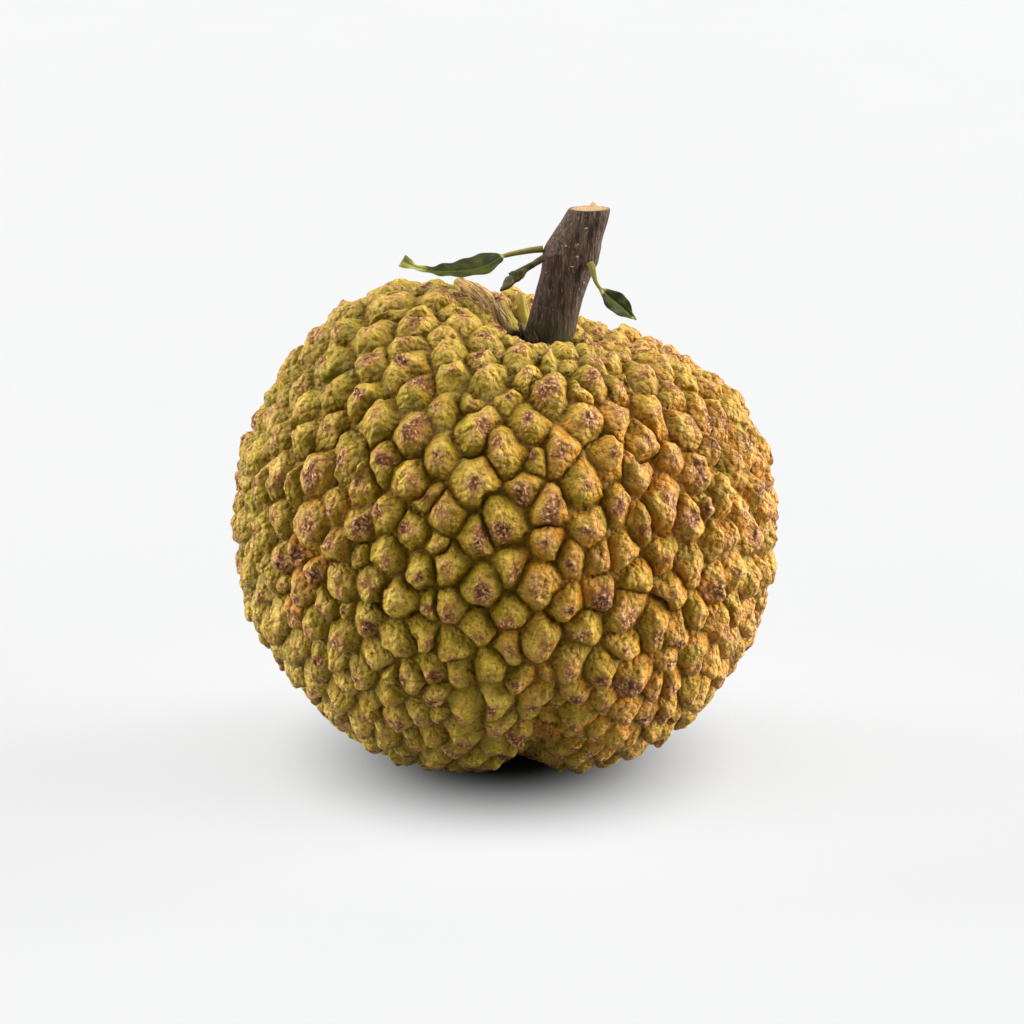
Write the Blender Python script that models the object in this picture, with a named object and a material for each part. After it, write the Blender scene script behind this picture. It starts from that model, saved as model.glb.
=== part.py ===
"""A ripe monkey jack, as picked: the knobbly fruit, its cut woody stalk, a bud twig and two small leaves.

Metres, +Z up, the stalk leaning towards +X and the front of the fruit at -Y. The origin is at the middle
of the patch that the fruit rests on, under the centre of its widest ring.
"""

import math

import bmesh
import bpy
import numpy as np
from mathutils import Matrix, Vector

MM = 0.001
CLEARANCE = 0.3 * MM

# Outline of the fruit, measured to the bottom of the grooves between its knobs
HALF_WIDTH = 48.2 * MM
HALF_DEPTH = 46.8 * MM
CENTRE = np.array((-0.020, 0.073, 40.0)) * MM
CROWN_HEIGHT = 42.6 * MM
CROWN_POWER = 2.45
BASE_HEIGHT = 39.1 * MM
BASE_POWER = 2.4

# The stalk's seat is off the top, and every knob is laid out round the axis through it
AXIS_LEAN = math.radians(11.5)
STEM_AXIS = Vector((math.sin(AXIS_LEAN), 0, math.cos(AXIS_LEAN)))

# Lobes and hollows: unit direction from the centre, angular spread, rise
SWELLINGS = (
    ((-0.40, -0.02, 0.92), math.radians(22), 5.4 * MM),
    ((-0.10, 0.40, 0.91), math.radians(16), 2.6 * MM),
    ((0.54, 0.08, 0.83), math.radians(19), -4.3 * MM),
    ((0.80, 0.00, 0.60), math.radians(14), 0.2 * MM),
    ((0.02, -0.45, 0.89), math.radians(20), -1.4 * MM),
    (tuple(STEM_AXIS), math.radians(17), -5.4 * MM),
    (tuple(STEM_AXIS), math.radians(9), -2.4 * MM),
    ((-0.82, -0.25, -0.50), math.radians(20), -2.3 * MM),
    ((0.85, -0.20, -0.48), math.radians(22), -1.3 * MM),
    ((-0.45, -0.45, -0.77), math.radians(20), 1.2 * MM),
    ((0.50, -0.40, -0.75), math.radians(20), 1.6 * MM),
)

# Furrows: direction where each starts and ends, half width, depth
FURROWS = (
    ((0.14, 0.07, 0.98), (-0.34, 0.42, 0.84), math.radians(5.5), 5.0 * MM),
    ((0.14, -0.82, -0.52), (0.06, -0.30, -0.95), math.radians(4.5), 2.6 * MM),
    ((0.42, -0.42, 0.80), (0.50, -0.86, -0.05), math.radians(5.0), 1.3 * MM),
    ((0.24, 0.22, 0.94), (0.42, 0.66, 0.62), math.radians(5.0), 2.0 * MM),
)

# Knobs: how many, how they are packed, and how they rise
KNOBS = 800
BUDS = 60
SEED = 11
SPIRAL_JITTER = 0.027
RELAX_ROUNDS = 2
RELAX_SAMPLES = 24000
SIZE_SPREAD = 0.0007
BUD_WEIGHT = 0.9990
BUD_SPACING = 0.11
SEAT_WEIGHT = 1.060
SEAT_CLEAR = 0.36
SHORTEST_EDGE = 1.25 * MM
KNOB_RISE = 0.42
KNOB_RISE_MOST = 2.9 * MM
RISE_SPREAD = 0.14
CROWN_SCALE = 0.58
SMALLEST_CROWN = 3.2 * MM
SEAT_RISE = 0.0
SCALE_SLIDE = 0.16

# How long a knob is along the fruit's axis for its width, from the stalk to the base
STRETCH_ANGLES = tuple(math.radians(a) for a in (0, 12, 30, 60, 95, 130, 165, 180))
STRETCHES = (1.0, 1.25, 1.5, 1.35, 1.08, 0.92, 0.95, 1.0)
STRETCH_SHIFT = 0.10

# Stalk: centre, radius across X, radius across Y, from the foot up; the node is where twigs leave it
STEM_SIDES = 16
STEM_FOOT_DEPTH = 4.0 * MM
STEM_SECTIONS = (
    ((6.3, 0.0, 70.7), 4.7, 4.5),
    ((8.3, 0.0, 79.1), 4.75, 4.5),
    ((8.9, 0.0, 81.3), 4.6, 4.4),
    ((10.1, 0.0, 85.5), 4.6, 4.35),
    ((11.2, 0.0, 89.5), 4.75, 4.45),
    ((12.0, 0.0, 92.3), 5.15, 4.7),
    ((12.3, 0.0, 93.9), 5.2, 4.7),
    ((13.2, 0.0, 96.1), 4.45, 4.3),
    ((14.5, 0.0, 99.3), 3.9, 3.9),
    ((15.3, 0.0, 101.5), 3.55, 3.65),
)
BARK_RIDGE = 0.035

# Dry bract stubs that stand round the stalk's foot
STUB_ROW = 1
STUB_SIDES = (1, 3, 7, 9, 12, 14)
STUB_LENGTH = 1.1 * MM
STUB_TAPER = 0.45

# Leaves and twig: the points of each midrib from the stalk out, half widths, half thicknesses
LEAF_SIDES = 8
LEAF_LEFT = (
    ((6.6, -0.4, 94.2), 0.75, 0.75),
    ((5.2, -0.6, 94.1), 0.70, 0.70),
    ((3.4, -1.0, 93.7), 0.60, 0.60),
    ((1.0, -1.4, 93.2), 0.50, 0.48),
    ((-0.2, -1.6, 92.9), 0.80, 0.42),
    ((-1.8, -1.9, 92.3), 2.6, 0.36),
    ((-4.4, -2.3, 91.4), 4.0, 0.36),
    ((-7.6, -2.6, 90.9), 4.5, 0.36),
    ((-11.0, -2.8, 91.0), 4.3, 0.36),
    ((-14.2, -2.8, 91.4), 3.2, 0.36),
    ((-16.6, -2.7, 91.9), 1.9, 0.34),
    ((-18.4, -2.5, 92.8), 0.9, 0.30),
)
LEAF_RIGHT = (
    ((15.9, -4.6, 92.1), 0.70, 0.70),
    ((16.3, -5.0, 91.0), 0.72, 0.72),
    ((16.5, -5.2, 89.4), 0.62, 0.62),
    ((17.4, -5.5, 87.8), 0.45, 0.45),
    ((18.1, -5.6, 87.1), 0.90, 0.38),
    ((19.1, -5.7, 86.2), 1.75, 0.34),
    ((20.3, -5.8, 85.1), 2.05, 0.34),
    ((21.5, -5.8, 84.0), 1.55, 0.33),
    ((22.5, -5.8, 83.0), 0.75, 0.32),
    ((23.3, -5.8, 82.3), 0.34, 0.30),
)
BUD_TWIG = (
    ((6.9, -3.4, 93.5), 0.95, 0.95),
    ((5.7, -3.5, 92.7), 0.90, 0.90),
    ((4.4, -3.6, 91.9), 0.82, 0.82),
    ((2.9, -4.0, 91.0), 1.05, 1.00),
    ((2.2, -4.2, 90.4), 1.00, 0.95),
    ((1.2, -4.5, 89.6), 1.10, 0.80),
    ((0.2, -4.8, 88.7), 0.90, 0.60),
    ((-1.0, -5.1, 87.7), 0.30, 0.28),
)
LEAF_LEFT_FACE = Vector((0.0, -0.26, 1.0))
LEAF_RIGHT_FACE = Vector((0.62, -0.55, 0.56))
BUD_TWIG_FACE = Vector((0.1, -0.9, 0.45))
LEAF_FOLD = 0.22
TWIG_FOLD = 0.0


def clear_scene():
    for old in list(bpy.data.objects):
        bpy.data.objects.remove(old)


def principled(name, colour, roughness):
    material = bpy.data.materials.new(name)
    material.use_nodes = True
    shader = material.node_tree.nodes["Principled BSDF"]
    shader.inputs["Base Color"].default_value = (*colour, 1)
    shader.inputs["Roughness"].default_value = roughness
    shader.inputs["Metallic"].default_value = 0
    return material


def add_object(name, bm, material):
    mesh = bpy.data.meshes.new(name)
    bmesh.ops.recalc_face_normals(bm, faces=bm.faces)
    bm.to_mesh(mesh)
    bm.free()
    mesh.materials.append(material)
    obj = bpy.data.objects.new(name, mesh)
    bpy.context.scene.collection.objects.link(obj)
    return obj


def unit(rows):
    return rows / np.linalg.norm(rows, axis=1, keepdims=True)


def bump(directions, axis, spread):
    """1 on the axis, falling off smoothly past an angle of about the spread."""
    angle = np.arccos(np.clip(directions @ (np.array(axis) / np.linalg.norm(axis)), -1, 1))
    return np.exp(-((angle / spread) ** 2))


def furrow(directions, start, end, half_width):
    """1 along the arc from start to end, fading to 0 beside it and past its ends."""
    start, end = unit(np.array([start, end], float))
    pole = np.cross(start, end)
    pole /= np.linalg.norm(pole)
    aside = np.arcsin(np.clip(directions @ pole, -1, 1))
    along = np.arctan2(directions @ np.cross(pole, start), directions @ start)
    length = math.acos(float(start @ end))
    past = np.maximum(np.maximum(-along, along - length), 0)
    return np.exp(-((aside / half_width) ** 2) - (past / (2 * half_width)) ** 2)


def fruit_radius(directions):
    """From the fruit's centre to the bottom of its grooves, along each unit direction."""
    x, y, z = directions.T
    across = np.hypot(x / HALF_WIDTH, y / HALF_DEPTH)
    power = np.where(z > 0, CROWN_POWER, BASE_POWER)
    along = np.abs(z) / np.where(z > 0, CROWN_HEIGHT, BASE_HEIGHT)
    radius = (across**power + along**power) ** (-1 / power)
    for axis, spread, rise in SWELLINGS:
        radius += rise * bump(directions, axis, spread)
    for start, end, half_width, depth in FURROWS:
        radius -= depth * furrow(directions, start, end, half_width)
    return radius


def fruit_surface(pattern):
    """Points in the grooves, for unit directions of the knob pattern, whose pole is the stalk."""
    theta = np.linspace(0.002, math.pi - 0.002, 721)
    stretch = np.interp(theta, STRETCH_ANGLES, STRETCHES)
    slope = 1 / (stretch * np.sin(theta))
    mercator = np.concatenate([[0], np.cumsum((slope[1:] + slope[:-1]) / 2 * np.diff(theta))])
    mercator -= np.interp(math.pi / 2, theta, mercator) + STRETCH_SHIFT
    flat = 2 * np.arctan(np.exp(mercator))
    polar = np.interp(np.arccos(np.clip(pattern[:, 2], -1, 1)), flat, theta)
    turn = np.arctan2(pattern[:, 1], pattern[:, 0])
    own = np.stack([np.sin(polar) * np.cos(turn), np.sin(polar) * np.sin(turn), np.cos(polar)], axis=1)
    directions = own @ np.array(Matrix.Rotation(AXIS_LEAN, 3, "Y")).T
    return CENTRE + directions * fruit_radius(directions)[:, None]


def knob_sites(rng):
    """Knob centres spread evenly over the pattern's sphere; the stalk's seat is the first of them."""
    step = np.arange(KNOBS) + 0.5
    height = 1 - 2 * step / KNOBS
    turn = step * math.pi * (3 - math.sqrt(5))
    ring = np.sqrt(1 - height**2)
    sites = np.stack([ring * np.cos(turn), ring * np.sin(turn), height], axis=1)
    sites = unit(sites + rng.normal(0, SPIRAL_JITTER, sites.shape))
    samples = unit(rng.normal(size=(RELAX_SAMPLES, 3)))
    for _ in range(RELAX_ROUNDS):
        nearest = np.argmax(samples @ sites.T, axis=1)
        sums = np.zeros_like(sites)
        np.add.at(sums, nearest, samples)
        sites = unit(sums + sites)
    sites = sites[np.arccos(sites[:, 2]) > SEAT_CLEAR]
    return np.vstack([[0, 0, 1], sites])


def cells_round(sites, weights):
    """The corners between neighbouring sites, and for each site the ring of its corners.

    A heavier site takes more room. Corners are the face normals of the hull round the weighted sites.
    """
    bm = bmesh.new()
    spots = sites * weights[:, None]
    for spot in spots:
        bm.verts.new(spot)
    bm.verts.index_update()
    bmesh.ops.convex_hull(bm, input=bm.verts[:])
    bmesh.ops.triangulate(bm, faces=bm.faces[:])
    bm.faces.index_update()
    a, b, c = np.transpose([[spots[vert.index] for vert in face.verts] for face in bm.faces], (1, 0, 2))
    corners = np.cross(b - a, c - a)
    corners = unit(corners * np.sign(np.sum(corners * a, axis=1))[:, None])
    rings = []
    for vert in bm.verts[: len(sites)]:
        around = [face.index for face in vert.link_faces]
        middle = corners[around].sum(axis=0) if around else np.ones(3)
        side = np.cross(middle, (0.31, 0.52, 0.79))
        up = np.cross(middle, side) / np.linalg.norm(middle)
        around.sort(key=lambda i: math.atan2(corners[i] @ up, corners[i] @ side))
        rings.append(around)
    bm.free()
    return corners, rings


def knob_layout():
    """Sites, corner points and corner rings of every knob and bud, with the stalk's seat first."""
    rng = np.random.default_rng(SEED)
    sites = knob_sites(rng)
    weights = 1 + rng.normal(0, SIZE_SPREAD, len(sites))
    weights[0] = SEAT_WEIGHT
    corners, _ = cells_round(sites, weights)
    reach = np.max(corners @ sites.T, axis=1)
    clear_of_seat = np.arccos(corners[:, 2]) > 1.6 * SEAT_CLEAR
    gaps = np.argsort(np.where(clear_of_seat, reach, 2))[: 4 * BUDS]
    chosen = []
    for gap in rng.permutation(gaps):
        if len(chosen) < BUDS and all(corners[gap] @ corners[i] < math.cos(BUD_SPACING) for i in chosen):
            chosen.append(gap)
    sites = np.vstack([sites, corners[chosen]])
    weights = np.concatenate([weights, np.full(len(chosen), BUD_WEIGHT)])
    corners, rings = cells_round(sites, weights)
    return rng, fruit_surface(sites), fruit_surface(corners), rings


def welded_corners(points, rings):
    """Corners nearer than the shortest edge made one, so that no knob has a sliver of a side."""
    owner = list(range(len(points)))

    def root(i):
        while owner[i] != i:
            i = owner[i]
        return i

    for ring in rings:
        for a, b in zip(ring, ring[1:] + ring[:1]):
            if np.linalg.norm(points[a] - points[b]) < SHORTEST_EDGE:
                owner[root(b)] = root(a)
    groups = {}
    for i in range(len(points)):
        groups.setdefault(root(i), []).append(i)
    joined = {i: points[members].mean(axis=0) for i, members in groups.items()}
    shorter = []
    for ring in rings:
        kept = []
        for i in map(root, ring):
            if i not in kept:
                kept.append(i)
        shorter.append(kept)
    return joined, shorter


def make_fruit():
    """One skin: a cell for each knob, its border in the groove, its flat crown or its peak raised."""
    rng, centres, points, rings = knob_layout()
    corners, rings = welded_corners(points, rings)
    bm = bmesh.new()
    border = {i: bm.verts.new(corners[i]) for i in sorted({i for ring in rings for i in ring})}
    for number, (centre, ring) in enumerate(zip(centres, rings)):
        if len(ring) < 3:
            continue
        edge = np.array([corners[i] for i in ring])
        middle = edge.mean(axis=0)
        ahead = np.roll(edge, -1, axis=0)
        spread = np.cross(edge - middle, ahead - middle).sum(axis=0) / 2
        area = np.linalg.norm(spread)
        normal = spread / area
        if normal @ (middle - CENTRE) < 0:
            normal = -normal
        size = math.sqrt(area)
        rise = min(KNOB_RISE * size, KNOB_RISE_MOST) * (1 + RISE_SPREAD * rng.uniform(-1, 1))
        if number == 0:
            rise = SEAT_RISE
        fall = np.array((-STEM_AXIS.x, 0, -STEM_AXIS.z))
        fall -= normal * (normal @ fall)
        below = max(0.0, 1 - middle[2] / CENTRE[2])
        top = middle + SCALE_SLIDE * below * size * fall
        outer = [border[i] for i in ring]
        if size < SMALLEST_CROWN and number:
            peak = bm.verts.new(top + normal * rise)
            for k in range(len(ring)):
                bm.faces.new((outer[k], outer[(k + 1) % len(ring)], peak))
            continue
        crown = [bm.verts.new(p) for p in top + CROWN_SCALE * (edge - top) + normal * rise]
        for k in range(len(ring)):
            after = (k + 1) % len(ring)
            bm.faces.new((outer[k], outer[after], crown[after], crown[k]))
        bm.faces.new(crown)
    for vert in bm.verts:
        vert.co.z = max(vert.co.z, 0.0)
    skin = principled("knobbly_skin", (0.42, 0.32, 0.06), 0.62)
    return add_object("fruit", bm, skin)


def ring_points(centre, side, up, half_width, half_height, count, fold=0.0, ridge=0.0):
    """Points round one section; a folded section has its two edges raised above its middle."""
    points = []
    for k in range(count):
        turn = 2 * math.pi * k / count
        swell = 1 + ridge * math.cos(count / 2 * turn)
        across = math.cos(turn) * half_width * swell
        points.append(
            centre + side * across + up * (math.sin(turn) * half_height * swell + fold * abs(across))
        )
    return points


def loft(sections):
    """A closed skin through rings of equal count, with a flat cap at each end."""
    bm = bmesh.new()
    rings = [[bm.verts.new(p) for p in ring] for ring in sections]
    for low, high in zip(rings, rings[1:]):
        for k in range(len(low)):
            after = (k + 1) % len(low)
            bm.faces.new((low[k], low[after], high[after], high[k]))
    bm.faces.new(rings[0][::-1])
    bm.faces.new(rings[-1])
    return bm


def stem_rings(grow=0.0):
    """Level sections of the stalk, each made wider by grow."""
    rings = []
    for centre, across, deep in STEM_SECTIONS:
        rings.append(
            ring_points(
                Vector(centre) * MM, Vector((1, 0, 0)), Vector((0, 1, 0)),
                across * MM + grow, deep * MM + grow, STEM_SIDES, ridge=0.0 if grow else BARK_RIDGE,
            )
        )
    return rings


def make_stem():
    """The woody stalk, cut level at the top, with dry bract stubs round its foot."""
    bm = loft(stem_rings())
    bm.faces.ensure_lookup_table()
    stubs = [bm.faces[STUB_ROW * STEM_SIDES + side] for side in STUB_SIDES]
    drawn = bmesh.ops.extrude_discrete_faces(bm, faces=stubs)["faces"]
    for face in drawn:
        out = face.normal.copy()
        middle = face.calc_center_median()
        for vert in face.verts:
            vert.co = middle + (vert.co - middle) * STUB_TAPER + (out + Vector((0, 0, 1))) * STUB_LENGTH
    return add_object("stem", bm, principled("bark", (0.16, 0.11, 0.08), 0.8))


def socket_in(fruit):
    """Cuts the hole that the stalk's foot stands in."""
    rings = stem_rings(CLEARANCE)
    floor = [point - Vector((0, 0, CLEARANCE)) for point in rings[0]]
    cutter = add_object("stem_socket", loft([floor, *rings[:4]]), fruit.data.materials[0])
    cutter.hide_render = True
    cutter.display_type = "WIRE"
    cut = fruit.modifiers.new("Stem socket", "BOOLEAN")
    cut.operation = "DIFFERENCE"
    cut.object = cutter


def blade(name, sections, face, fold, material):
    """A stalked leaf or a twig: sections square to its midrib, flat side towards the face vector."""
    middles = [Vector(centre) * MM for centre, _, _ in sections]
    rings = []
    for k, (_, half_width, half_height) in enumerate(sections):
        along = (middles[min(k + 1, len(middles) - 1)] - middles[max(k - 1, 0)]).normalized()
        up = (face - along * face.dot(along)).normalized()
        side = along.cross(up)
        lift = fold if half_width > 2 * half_height else 0.0
        rings.append(
            ring_points(middles[k], side, up, half_width * MM, half_height * MM, LEAF_SIDES, fold=lift)
        )
    return add_object(name, loft(rings), material)


clear_scene()
fruit = make_fruit()
stem = make_stem()
socket_in(fruit)
leaf_green = principled("leaf_green", (0.06, 0.11, 0.02), 0.45)
twig_brown = principled("twig_brown", (0.10, 0.09, 0.04), 0.7)
blade("leaf_left", LEAF_LEFT, LEAF_LEFT_FACE, LEAF_FOLD, leaf_green)
blade("leaf_right", LEAF_RIGHT, LEAF_RIGHT_FACE, LEAF_FOLD, leaf_green)
blade("bud_twig", BUD_TWIG, BUD_TWIG_FACE, TWIG_FOLD, twig_brown)
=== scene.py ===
import math

import bmesh
import bpy
import numpy as np
from mathutils import Matrix, Vector, noise
from mathutils.bvhtree import BVHTree


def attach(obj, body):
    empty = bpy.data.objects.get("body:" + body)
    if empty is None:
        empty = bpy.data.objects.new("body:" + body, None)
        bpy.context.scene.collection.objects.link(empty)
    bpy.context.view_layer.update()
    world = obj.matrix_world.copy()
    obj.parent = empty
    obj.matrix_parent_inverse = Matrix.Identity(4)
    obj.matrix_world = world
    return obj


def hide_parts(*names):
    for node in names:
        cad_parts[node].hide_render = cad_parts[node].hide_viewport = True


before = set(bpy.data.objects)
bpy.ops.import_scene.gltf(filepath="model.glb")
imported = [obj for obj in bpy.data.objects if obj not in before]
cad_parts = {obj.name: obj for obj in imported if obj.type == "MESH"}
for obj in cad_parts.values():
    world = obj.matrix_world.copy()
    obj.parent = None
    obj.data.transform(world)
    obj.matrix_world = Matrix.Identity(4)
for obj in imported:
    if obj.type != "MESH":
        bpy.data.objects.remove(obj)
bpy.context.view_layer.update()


# The white table and the light
# A wide matt white acrylic table top, lit softly from below, runs far back under the fruit. Its glow is
# held back under the fruit as a painted contact shadow and raised a little beside it as painted light.
# Two large soft boxes stand at the sides and one hangs over it; the room's front is dark and its back is
# white.

MM = 0.001
TABLE_HALF = 4.0

bm = bmesh.new()
bmesh.ops.create_grid(bm, x_segments=8, y_segments=8, size=TABLE_HALF)
table_mesh = bpy.data.meshes.new("table_top")
bm.to_mesh(table_mesh)
bm.free()
table_top = bpy.data.objects.new("table_top", table_mesh)
bpy.context.scene.collection.objects.link(table_top)


def new_material(name, roughness, specular=0.5):
    """A node material with a Principled shader, its node tree and the shader."""
    material = bpy.data.materials.new(name)
    material.use_nodes = True
    shader = material.node_tree.nodes["Principled BSDF"]
    feed(shader, "Roughness", roughness)
    feed(shader, "Specular IOR Level", specular)
    return material, material.node_tree, shader


def fill(sockets, values):
    """Each value set on its socket, or linked to it where it is another node's output."""
    for socket, value in zip(sockets, values):
        if isinstance(value, bpy.types.NodeSocket):
            socket.id_data.links.new(value, socket)
        elif value is not None:
            socket.default_value = value


def feed(node, name, value):
    fill([node.inputs[name]], [value])


def add_node(tree, kind, sources=None, **settings):
    """A node with its settings, whose inputs are values or the outputs that feed them."""
    made = tree.nodes.new(kind)
    for name, value in settings.items():
        setattr(made, name, value)
    sources = sources or {}
    fill([made.inputs[name] for name in sources], sources.values())
    return made


def tree_of(*values):
    """The node tree of the first of these values that is a socket."""
    return next(value.id_data for value in values if isinstance(value, bpy.types.NodeSocket))


def place_in(tree):
    """Object coordinates."""
    return add_node(tree, "ShaderNodeTexCoord").outputs["Object"]


def grain(tree, scale, detail=4.0, roughness=0.55, stretch=(1, 1, 1), distortion=0.0):
    """Noise of about 1/scale metres on Object coordinates, from 0 to 1."""
    mapped = add_node(tree, "ShaderNodeMapping", {"Vector": place_in(tree), "Scale": stretch})
    sources = {"Vector": mapped.outputs["Vector"], "Scale": scale, "Detail": detail}
    sources |= {"Roughness": roughness, "Distortion": distortion}
    return add_node(tree, "ShaderNodeTexNoise", sources).outputs["Fac"]


def ramp(factor, low, high):
    """0 below low and 1 above high, smooth between."""
    sources = {"Value": factor, "From Min": low, "From Max": high}
    made = add_node(factor.id_data, "ShaderNodeMapRange", sources, interpolation_type="SMOOTHSTEP")
    return made.outputs["Result"]


def sums(operation, *values):
    """The values put together by one arithmetic step."""
    made = add_node(tree_of(*values), "ShaderNodeMath", operation=operation)
    fill(made.inputs, values)
    return made.outputs["Value"]


def plus(a, b):
    return sums("ADD", a, b)


def minus(a, b):
    return sums("SUBTRACT", a, b)


def times(a, b):
    return sums("MULTIPLY", a, b)


def vectors(operation, first, second=None):
    """Two vectors, or a vector and its scale, put together by one step."""
    made = add_node(tree_of(first, second), "ShaderNodeVectorMath", {0: first}, operation=operation)
    fill([made.inputs["Scale" if operation == "SCALE" else 1]], [second])
    return made.outputs["Value" if operation in ("LENGTH", "DISTANCE", "DOT_PRODUCT") else "Vector"]


def blend(factor, first, second):
    """The first colour turned into the second by the factor."""
    made = add_node(tree_of(factor, first, second), "ShaderNodeMix", data_type="RGBA")
    colours = [value if isinstance(value, bpy.types.NodeSocket) else (*value, 1) for value in (first, second)]
    fill([made.inputs[i] for i in (0, 6, 7)], [factor, *colours])
    return made.outputs[2]


def raise_surface(shader, height, distance):
    """Bump of that height pattern on the shader."""
    sources = {"Height": height, "Distance": distance, "Strength": 1.0}
    feed(shader, "Normal", add_node(shader.id_data, "ShaderNodeBump", sources).outputs["Normal"])


acrylic, tree, shader = new_material("acrylic_with_painted_shadow_and_light", 0.85, 0.1)
feed(shader, "Base Color", blend(grain(tree, 12, 2), (0.096, 0.098, 0.10), (0.104, 0.104, 0.104)))
feed(shader, "Emission Color", (1.0, 1.0, 1.0, 1))
# Painted shadow and painted light: the glow from below is masked off under the fruit as a painted
# contact shadow, and is a little stronger at the fruit's sides as painted light
place = place_in(tree)
apart = vectors("LENGTH", vectors("MULTIPLY", place, (1.0, 0.70, 1.0)))
aside = vectors("LENGTH", vectors("MULTIPLY", place, (1.0, 1.8, 1.0)))
painted_side_light = times(minus(1.0, ramp(aside, 0.06, 0.18)), 0.085)
feed(shader, "Emission Strength", times(ramp(apart, 0.010, 0.046), plus(painted_side_light, 0.538)))
raise_surface(shader, grain(tree, 900, 1), 0.00003)
table_mesh.materials.append(acrylic)

# Brightness of the room: which way each part faces, where it begins and ends, how bright it is
ROOM_FRONT = 0.20
ROOM_PARTS = (
    ((-0.90, 0.10, 0.38), 0.74, 0.94, 9.8),
    ((0.93, 0.12, 0.33), 0.74, 0.94, 14.9),
    ((0.0, 0.05, 0.99), 0.84, 0.95, 3.0),
    ((0.0, 1.0, 0.1), 0.00, 0.80, 0.40),
)
room = bpy.data.worlds.new("white_room")
room.use_nodes = True
tree = room.node_tree
facing = place_in(tree)
brightness = ROOM_FRONT
for direction, begins, ends, power in ROOM_PARTS:
    share = vectors("DOT_PRODUCT", facing, tuple(Vector(direction).normalized()))
    brightness = plus(times(ramp(share, begins, ends), power), brightness)
background = tree.nodes["Background"]
feed(background, "Color", (1.0, 1.0, 1.0, 1))
feed(background, "Strength", brightness)
bpy.context.scene.world = room
bpy.context.scene.view_settings.view_transform = "Standard"

CAMERA_TARGET = Vector((1.3, 0.0, 45.3)) * MM
CAMERA_DISTANCE = 0.65
CAMERA_ELEVATION = math.radians(12.5)
camera_data = bpy.data.cameras.new("camera")
camera_data.sensor_width = 36
camera_data.lens = 124.3
camera_data.clip_start = 0.01
camera = bpy.data.objects.new("camera", camera_data)
toward = Vector((0, math.cos(CAMERA_ELEVATION), -math.sin(CAMERA_ELEVATION)))
camera.location = CAMERA_TARGET - toward * CAMERA_DISTANCE
camera.rotation_euler = toward.to_track_quat("-Z", "Y").to_euler()
bpy.context.scene.collection.objects.link(camera)
bpy.context.scene.camera = camera


# The fruit
# One fleshy head of many florets grown together. Each floret ends in a knob, a small pillow of thick
# skin with the dry scar of its style on top, and small round buds fill gaps between the knobs.

HALF_WIDTH = 48.2 * MM
HALF_DEPTH = 46.8 * MM
CENTRE = np.array((-0.020, 0.073, 40.0)) * MM
CROWN_HEIGHT = 42.6 * MM
CROWN_POWER = 2.45
BASE_HEIGHT = 39.1 * MM
BASE_POWER = 2.4
AXIS_LEAN = math.radians(11.5)
STEM_AXIS = Vector((math.sin(AXIS_LEAN), 0, math.cos(AXIS_LEAN)))

# Lobes and hollows: direction from the centre, angular spread in degrees, rise in mm
SWELLINGS = (
    ((-0.40, -0.02, 0.92), 22, 5.4),
    ((-0.10, 0.40, 0.91), 16, 2.6),
    ((0.54, 0.08, 0.83), 19, -4.3),
    ((0.80, 0.00, 0.60), 14, 0.2),
    ((0.02, -0.45, 0.89), 20, -1.4),
    (tuple(STEM_AXIS), 17, -5.4),
    (tuple(STEM_AXIS), 9, -2.4),
    ((-0.82, -0.25, -0.50), 20, -2.3),
    ((0.85, -0.20, -0.48), 22, -1.3),
    ((-0.45, -0.45, -0.77), 20, 1.2),
    ((0.50, -0.40, -0.75), 20, 1.6),
    ((0.02, -0.03, 1.0), 6, -4.0),
    ((0.11, -0.23, 0.967), 11, -2.2),
)

# Furrows: direction where each starts and ends, half width in degrees, depth in mm
FURROWS = (
    ((0.14, 0.07, 0.98), (-0.34, 0.42, 0.84), 5.5, 5.0),
    ((0.14, -0.82, -0.52), (0.06, -0.30, -0.95), 4.5, 2.6),
    ((0.42, -0.42, 0.80), (0.50, -0.86, -0.05), 5.0, 1.3),
    ((0.24, 0.22, 0.94), (0.42, 0.66, 0.62), 5.0, 2.0),
    ((0.16, -0.80, -0.55), (0.07, -0.42, -0.90), 3.4, 4.6),
)

KNOBS = 800
BUDS = 60
SEED = 11
SPIRAL_JITTER = 0.027
RELAX_ROUNDS = 2
RELAX_SAMPLES = 24000
SIZE_SPREAD = 0.0007
BUD_WEIGHT = 0.9990
BUD_SPACING = 0.11
SEAT_WEIGHT = 1.060
SEAT_CLEAR = 0.36
SHORTEST_EDGE = 1.25 * MM
KNOB_RISE = 0.42
KNOB_RISE_MOST = 2.9 * MM
RISE_SPREAD = 0.14
SCALE_SLIDE = 0.16
STRETCH_ANGLES = tuple(math.radians(a) for a in (0, 12, 30, 60, 95, 130, 165, 180))
STRETCHES = (1.0, 1.25, 1.5, 1.35, 1.08, 0.92, 0.95, 1.0)
STRETCH_SHIFT = 0.10


def unit(rows):
    return rows / np.linalg.norm(rows, axis=1, keepdims=True)


def bump(directions, axis, spread):
    """1 on the axis, falling off smoothly past an angle of about the spread."""
    angle = np.arccos(np.clip(directions @ (np.array(axis) / np.linalg.norm(axis)), -1, 1))
    return np.exp(-((angle / spread) ** 2))


def furrow(directions, start, end, half_width):
    """1 along the arc from start to end, fading to 0 beside it and past its ends."""
    start, end = unit(np.array([start, end], float))
    pole = np.cross(start, end)
    pole /= np.linalg.norm(pole)
    aside = np.arcsin(np.clip(directions @ pole, -1, 1))
    along = np.arctan2(directions @ np.cross(pole, start), directions @ start)
    length = math.acos(float(start @ end))
    past = np.maximum(np.maximum(-along, along - length), 0)
    return np.exp(-((aside / half_width) ** 2) - (past / (2 * half_width)) ** 2)


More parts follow.
